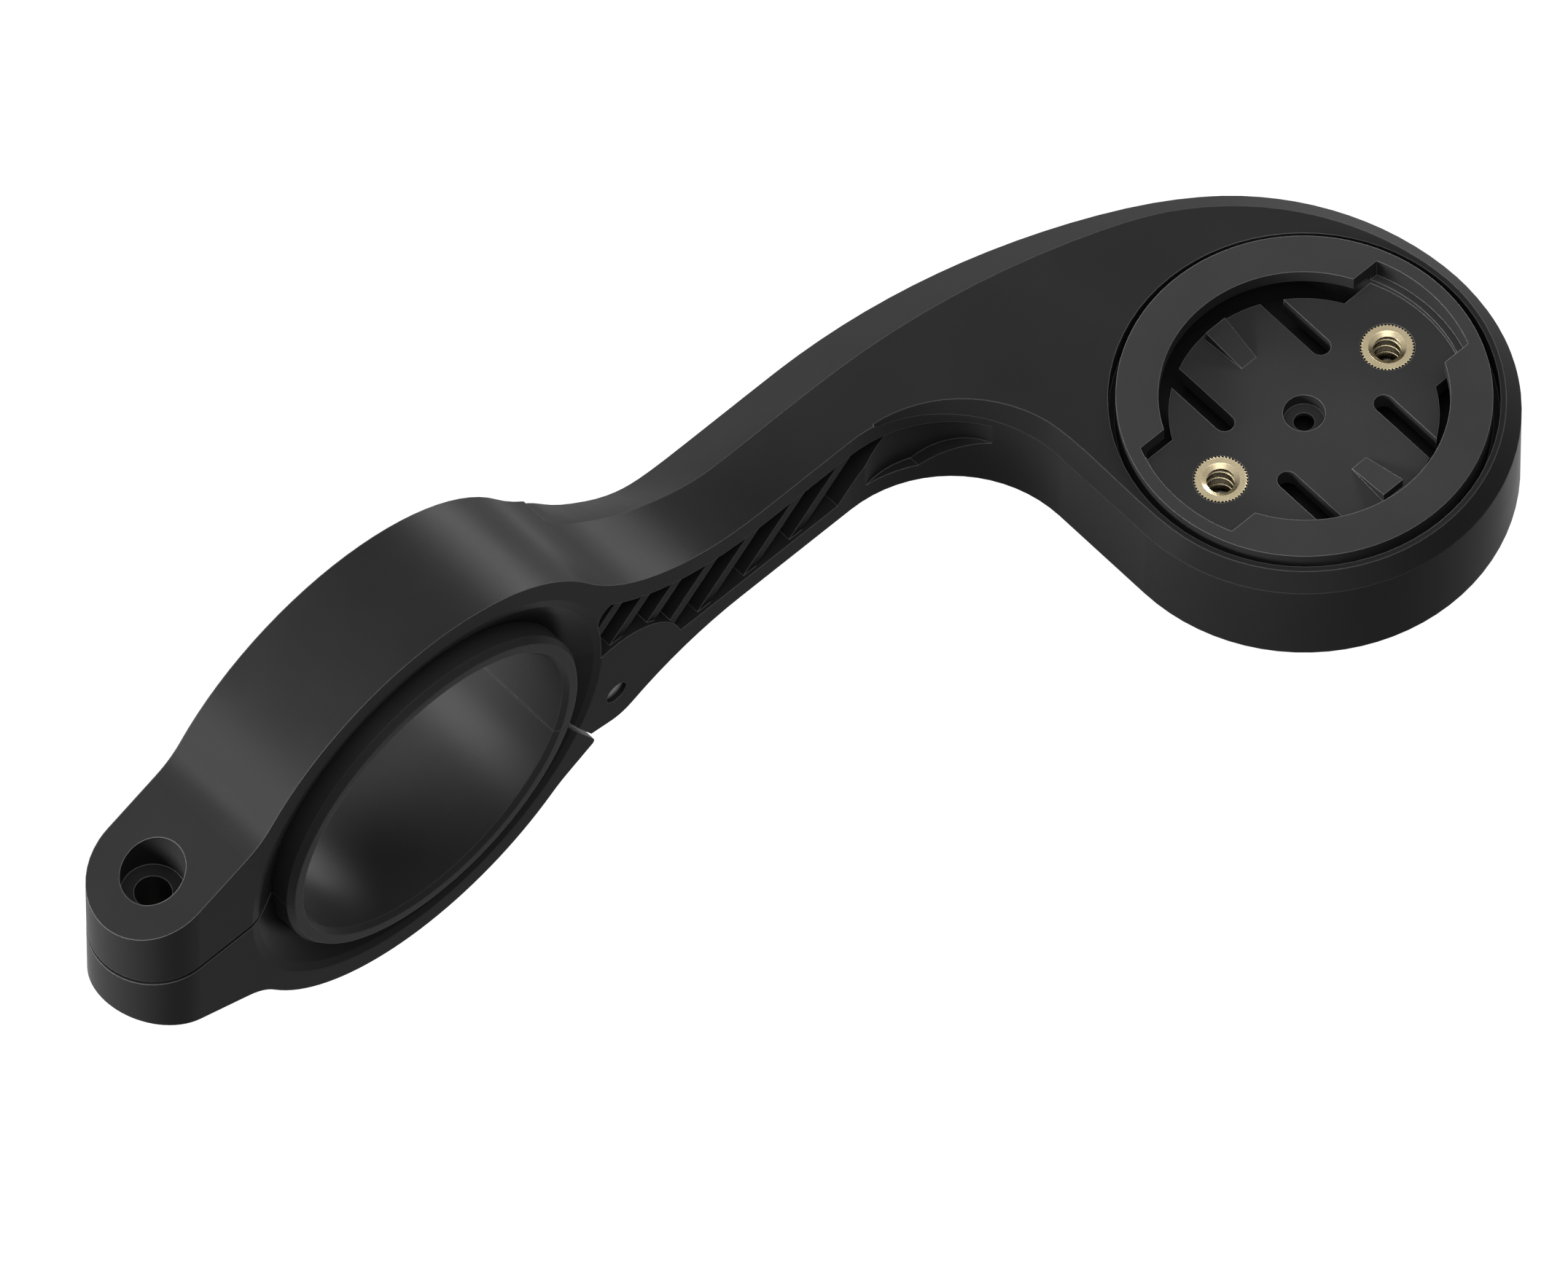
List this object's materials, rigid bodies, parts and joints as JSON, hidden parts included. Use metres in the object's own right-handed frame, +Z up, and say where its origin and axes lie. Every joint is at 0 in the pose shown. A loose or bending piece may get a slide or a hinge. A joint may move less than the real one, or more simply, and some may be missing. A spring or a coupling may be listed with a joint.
{
  "type": "bike computer mount",
  "caption": "Out-front bike computer mount: a hinged bar clamp, a slim offset arm and a round head with a quarter-turn socket.",
  "frame": {"origin": "centre of the handlebar bore", "axes": "+X forward from the clamp to the head, +Y to the left along the handlebar, +Z up"},
  "size_m": [0.1394, 0.0577, 0.0474],
  "materials": {
    "body": "satin",
    "socket": "satin",
    "liner": "satin",
    "brass": "knurled",
    "steel": "plain"
  },
  "bodies": {
    "root": {"arm": "body", "hinge_pin": "steel", "upper_liner": "liner", "socket": "socket", "front_insert": "brass", "rear_insert": "brass", "front_socket_screw": "steel", "rear_socket_screw": "steel"},
    "strap": {"clamp_strap": "body", "lower_liner": "liner", "clamp_insert": "brass"}
  },
  "joints": [
    {"name": "clamp_hinge", "type": "hinge", "parent": "root", "child": "strap", "pos_m": [0.0232, 0, -0.0096], "axis": [0, -1, 0], "range_deg": [0, 80]}
  ]
}
